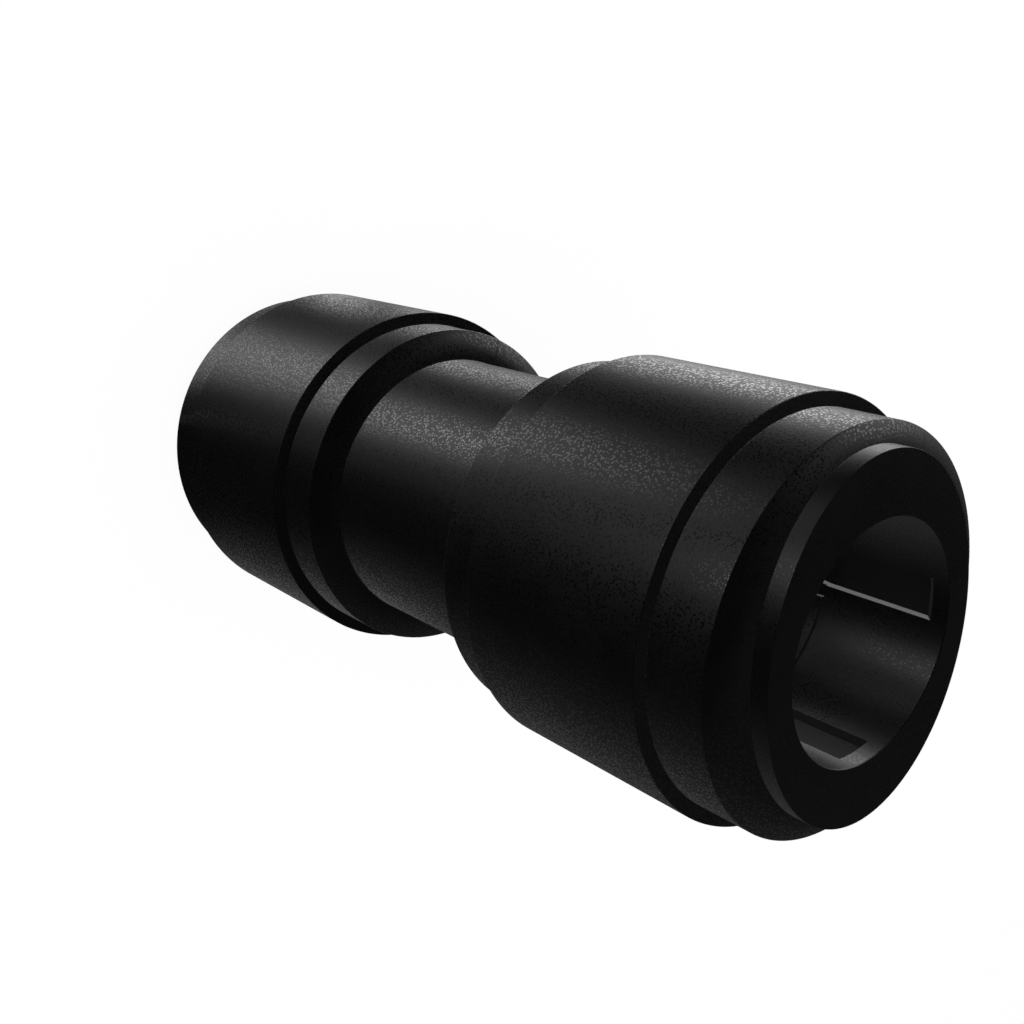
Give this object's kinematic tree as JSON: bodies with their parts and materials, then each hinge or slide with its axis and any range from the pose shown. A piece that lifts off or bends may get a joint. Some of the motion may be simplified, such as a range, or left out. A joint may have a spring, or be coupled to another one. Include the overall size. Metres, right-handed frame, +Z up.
{
  "type": "push-fit union connector",
  "caption": "Straight push-fit union for plastic tube, with stepped barrels, domed noses, a narrow neck and an oval release collet at each mouth.",
  "frame": {"origin": "centre of the lower collet's face, on the tube's axis", "axes": "+Z up along the tube's axis from the lower to the upper mouth, +X along the long way of the oval collet flanges"},
  "size_m": [0.0234, 0.0234, 0.0553],
  "materials": {
    "housing_plastic": "satin, finely textured",
    "collet_plastic": "satin, finely textured",
    "spacer_plastic": "satin",
    "seal_rubber": "smooth",
    "tooth_steel": "bright rolled spring steel"
  },
  "bodies": {
    "housing": {"body": "housing_plastic", "upper_cap": "housing_plastic", "lower_cap": "housing_plastic", "upper_spacer": "spacer_plastic", "lower_spacer": "spacer_plastic", "upper_o_ring": "seal_rubber", "lower_o_ring": "seal_rubber"},
    "upper_grip": {"upper_collet": "collet_plastic", "upper_tooth_1": "tooth_steel", "upper_tooth_2": "tooth_steel", "upper_tooth_3": "tooth_steel", "upper_tooth_4": "tooth_steel", "upper_tooth_5": "tooth_steel", "upper_tooth_6": "tooth_steel", "upper_tooth_7": "tooth_steel", "upper_tooth_8": "tooth_steel"},
    "lower_grip": {"lower_collet": "collet_plastic", "lower_tooth_1": "tooth_steel", "lower_tooth_2": "tooth_steel", "lower_tooth_3": "tooth_steel", "lower_tooth_4": "tooth_steel", "lower_tooth_5": "tooth_steel", "lower_tooth_6": "tooth_steel", "lower_tooth_7": "tooth_steel", "lower_tooth_8": "tooth_steel"}
  },
  "joints": [
    {"name": "upper_collet_slide", "type": "slide", "parent": "housing", "child": "upper_grip", "axis": [0, 0, 1], "range_m": [0, 0.0015]},
    {"name": "lower_collet_slide", "type": "slide", "parent": "housing", "child": "lower_grip", "axis": [0, 0, -1], "range_m": [0, 0.0015]}
  ]
}
